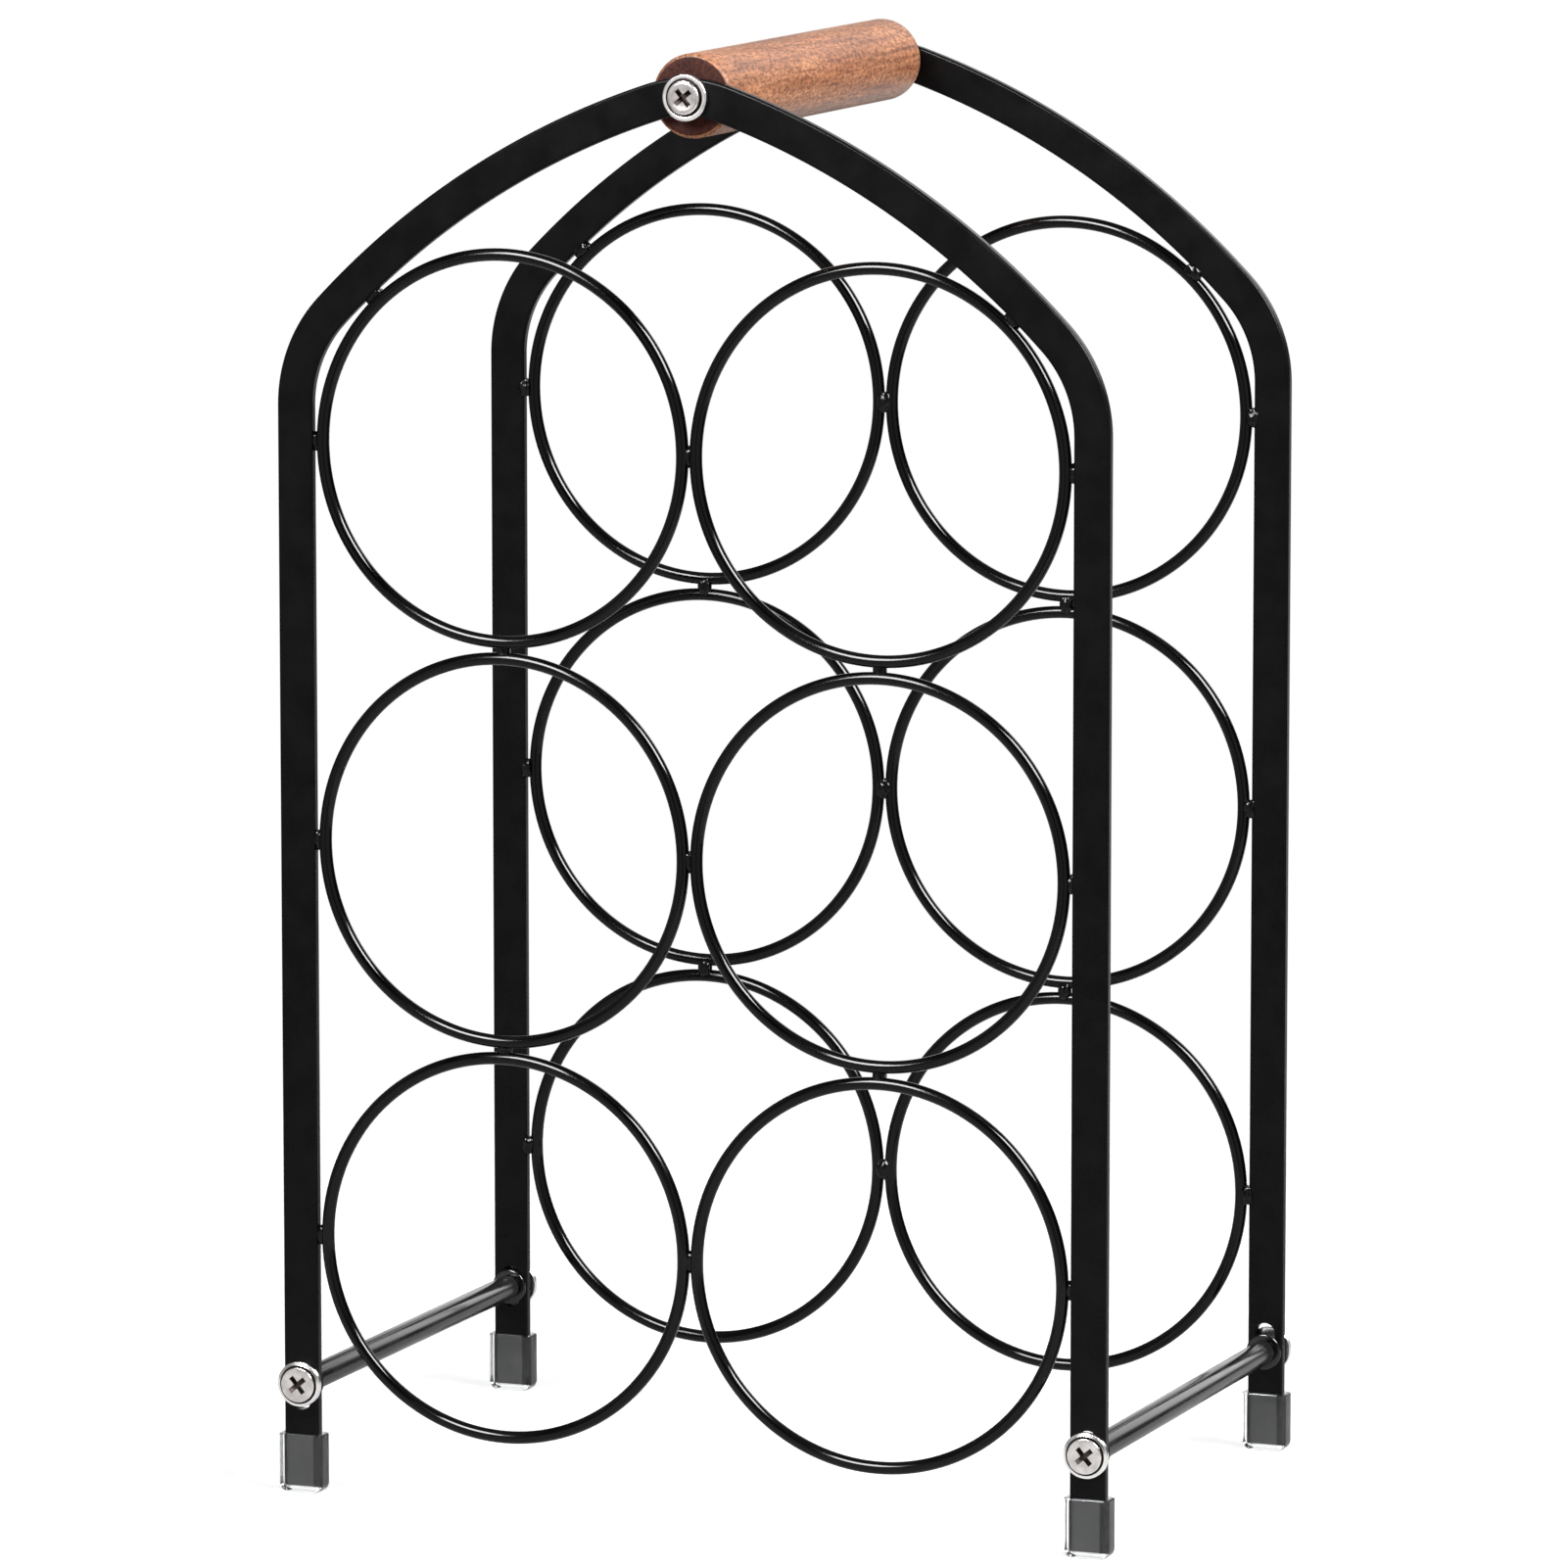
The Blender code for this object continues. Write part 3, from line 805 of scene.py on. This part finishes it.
# Soft panels of the studio: direction, cosines where each begins and is full, and strength
studio_panels = (
    ((-0.33, 0.92, 0.20), (0.95, 0.985), 1.3),
    ((0.15, 0.90, -0.40), (0.90, 0.95), 1.3),
    ((0.18, 0.90, 0.40), (0.94, 0.98), 2.9),
    ((-0.36, -0.92, -0.15), (0.84, 0.93), 0.62),
    ((0.80, -0.55, -0.20), (0.70, 0.90), 0.60),
    ((-0.98, -0.10, 0.15), (0.75, 0.92), 0.40),
    ((-0.10, -0.05, 0.99), (0.78, 0.86), 0.30))

# Two soft boxes: name, direction, size, and the watts of the light and of its highlights.
# The highlights come from a second lamp just in front, which only reflections see
soft_boxes = (
    ("right_box", (0.72, -0.262, 0.643), (0.70, 0.50), 16.5, 50.0),
    ("left_box", (-0.253, -0.757, 0.602), (0.42, 0.62), 7.0, 38.0))
box_target = (0.0, 0.0, 0.19)
light_distance = 1.4
highlight_distance = 1.3

camera_place = (0.923256, -2.370389, 0.550237)
camera_tilt = math.radians(90.0 - 8.3191)
camera_turn = math.radians(21.3134)
camera_lens = 231.82
camera_sensor = 36.0
camera_reach = 50.0


def add_math(tree, operation, first, second):
    node = add_node(tree, "ShaderNodeMath", operation=operation)
    for socket, value in zip(node.inputs, (first, second)):
        if isinstance(value, float):
            socket.default_value = value
        else:
            tree.links.new(value, socket)
    return node.outputs[0]


def make_floor():
    body = bmesh.new()
    bmesh.ops.create_circle(body, cap_ends=True, segments=floor_sides, radius=floor_radius)
    floor = new_object("floor", body, smooth=False)
    material = bpy.data.materials.new("pale_floor")
    material.use_nodes = True
    tree = material.node_tree
    tree.nodes.clear()
    diffuse = add_node(tree, "ShaderNodeBsdfDiffuse")
    glow = add_node(tree, "ShaderNodeEmission")
    both = add_node(tree, "ShaderNodeAddShader")
    output = add_node(tree, "ShaderNodeOutputMaterial")
    path = add_node(tree, "ShaderNodeLightPath")
    seen = add_math(tree, "MAXIMUM", path.outputs["Is Camera Ray"], path.outputs["Is Transmission Ray"])
    # In reflections the floor is darker towards the front
    split = add_node(tree, "ShaderNodeSeparateXYZ")
    tree.links.new(place_coordinates(tree), split.inputs[0])
    front = add_range(tree, split.outputs["Y"], front_loss_y, (front_loss, 0.0))
    loss = add_math(tree, "MULTIPLY", path.outputs["Is Glossy Ray"], front)
    # It throws back less light than it shows, so the handle stays darker below
    loss = add_math(tree, "MAXIMUM", loss,
                    add_math(tree, "MULTIPLY", path.outputs["Is Diffuse Ray"], diffuse_loss))
    tree.links.new(add_math(tree, "SUBTRACT", floor_white, loss), diffuse.inputs["Color"])
    shown_glow = add_math(tree, "MULTIPLY", seen, floor_glow)
    glossy_glow = add_math(tree, "MULTIPLY", path.outputs["Is Glossy Ray"], mirrored_glow)
    tree.links.new(add_math(tree, "MAXIMUM", shown_glow, glossy_glow), glow.inputs["Strength"])
    tree.links.new(diffuse.outputs[0], both.inputs[0])
    tree.links.new(glow.outputs[0], both.inputs[1])
    tree.links.new(both.outputs[0], output.inputs["Surface"])
    floor.data.materials.append(material)


def mix_shaders(tree, factor, first, second):
    node = add_node(tree, "ShaderNodeMixShader")
    for socket, value in zip(node.inputs, (factor, first, second)):
        tree.links.new(value, socket)
    return node.outputs[0]


def make_background(tree, strength):
    node = add_node(tree, "ShaderNodeBackground")
    node.inputs["Color"].default_value = (1.0, 1.0, 1.0, 1.0)
    node.inputs["Strength"].default_value = strength
    return node


def make_world():
    # Even light for the object and a white background for the camera. Reflections show a dark
    # studio: white panels behind, and grey cards in front, beside and above
    world = bpy.data.worlds.new("studio")
    bpy.context.scene.world = world
    world.use_nodes = True
    tree = world.node_tree
    tree.nodes.clear()
    lit = make_background(tree, world_light)
    white = make_background(tree, 1.0)
    studio = make_background(tree, 1.0)
    source = add_node(tree, "ShaderNodeTexCoord")
    bright = studio_dark
    for direction, cosines, strength in studio_panels:
        facing = add_node(tree, "ShaderNodeVectorMath", operation="DOT_PRODUCT")
        facing.inputs[1].default_value = direction
        tree.links.new(source.outputs["Generated"], facing.inputs[0])
        panel = add_range(tree, facing.outputs["Value"], cosines, (studio_dark, strength))
        bright = add_math(tree, "MAXIMUM", bright, panel)
    tree.links.new(bright, studio.inputs["Strength"])
    path = add_node(tree, "ShaderNodeLightPath")
    # Clear plastic shows the white background, and its own reflections show the studio
    through = path.outputs["Is Transmission Ray"]
    reflected = add_math(tree, "GREATER_THAN", path.outputs["Glossy Depth"], 0.5)
    inside = add_math(tree, "MULTIPLY", through, reflected)
    straight = add_math(tree, "SUBTRACT", through, inside)
    seen = add_math(tree, "MAXIMUM", path.outputs["Is Camera Ray"], straight)
    glossy = add_math(tree, "MAXIMUM", path.outputs["Is Glossy Ray"], inside)
    surroundings = mix_shaders(tree, glossy, lit.outputs[0], studio.outputs[0])
    surroundings = mix_shaders(tree, seen, surroundings, white.outputs[0])
    output = add_node(tree, "ShaderNodeOutputWorld")
    tree.links.new(surroundings, output.inputs["Surface"])


def make_softbox(name, direction, distance, size, power, gloss_only=False):
    lamp = bpy.data.lights.new(name, "AREA")
    lamp.shape = "RECTANGLE"
    lamp.size, lamp.size_y = size
    lamp.energy = power
    item = bpy.data.objects.new(name, lamp)
    bpy.context.scene.collection.objects.link(item)
    aim = Vector(direction).normalized()
    item.location = Vector(box_target) + aim * distance
    item.rotation_euler = aim.to_track_quat("Z", "Y").to_euler()
    item.visible_camera = False
    if gloss_only:
        item.visible_diffuse = False
        item.visible_transmission = False
    else:
        item.visible_glossy = False


make_floor()
make_world()
for box_name, direction, size, light_power, highlight_power in soft_boxes:
    make_softbox(box_name, direction, light_distance, size, light_power)
    make_softbox(box_name + "_gloss", direction, highlight_distance, size, highlight_power,
                 gloss_only=True)

camera_data = bpy.data.cameras.new("camera")
camera_data.sensor_width = camera_sensor
camera_data.lens = camera_lens
camera_data.clip_end = camera_reach
camera = bpy.data.objects.new("camera", camera_data)
bpy.context.scene.collection.objects.link(camera)
camera.location = camera_place
camera.rotation_euler = (camera_tilt, 0.0, camera_turn)
bpy.context.scene.camera = camera
bpy.context.scene.view_settings.view_transform = "Standard"
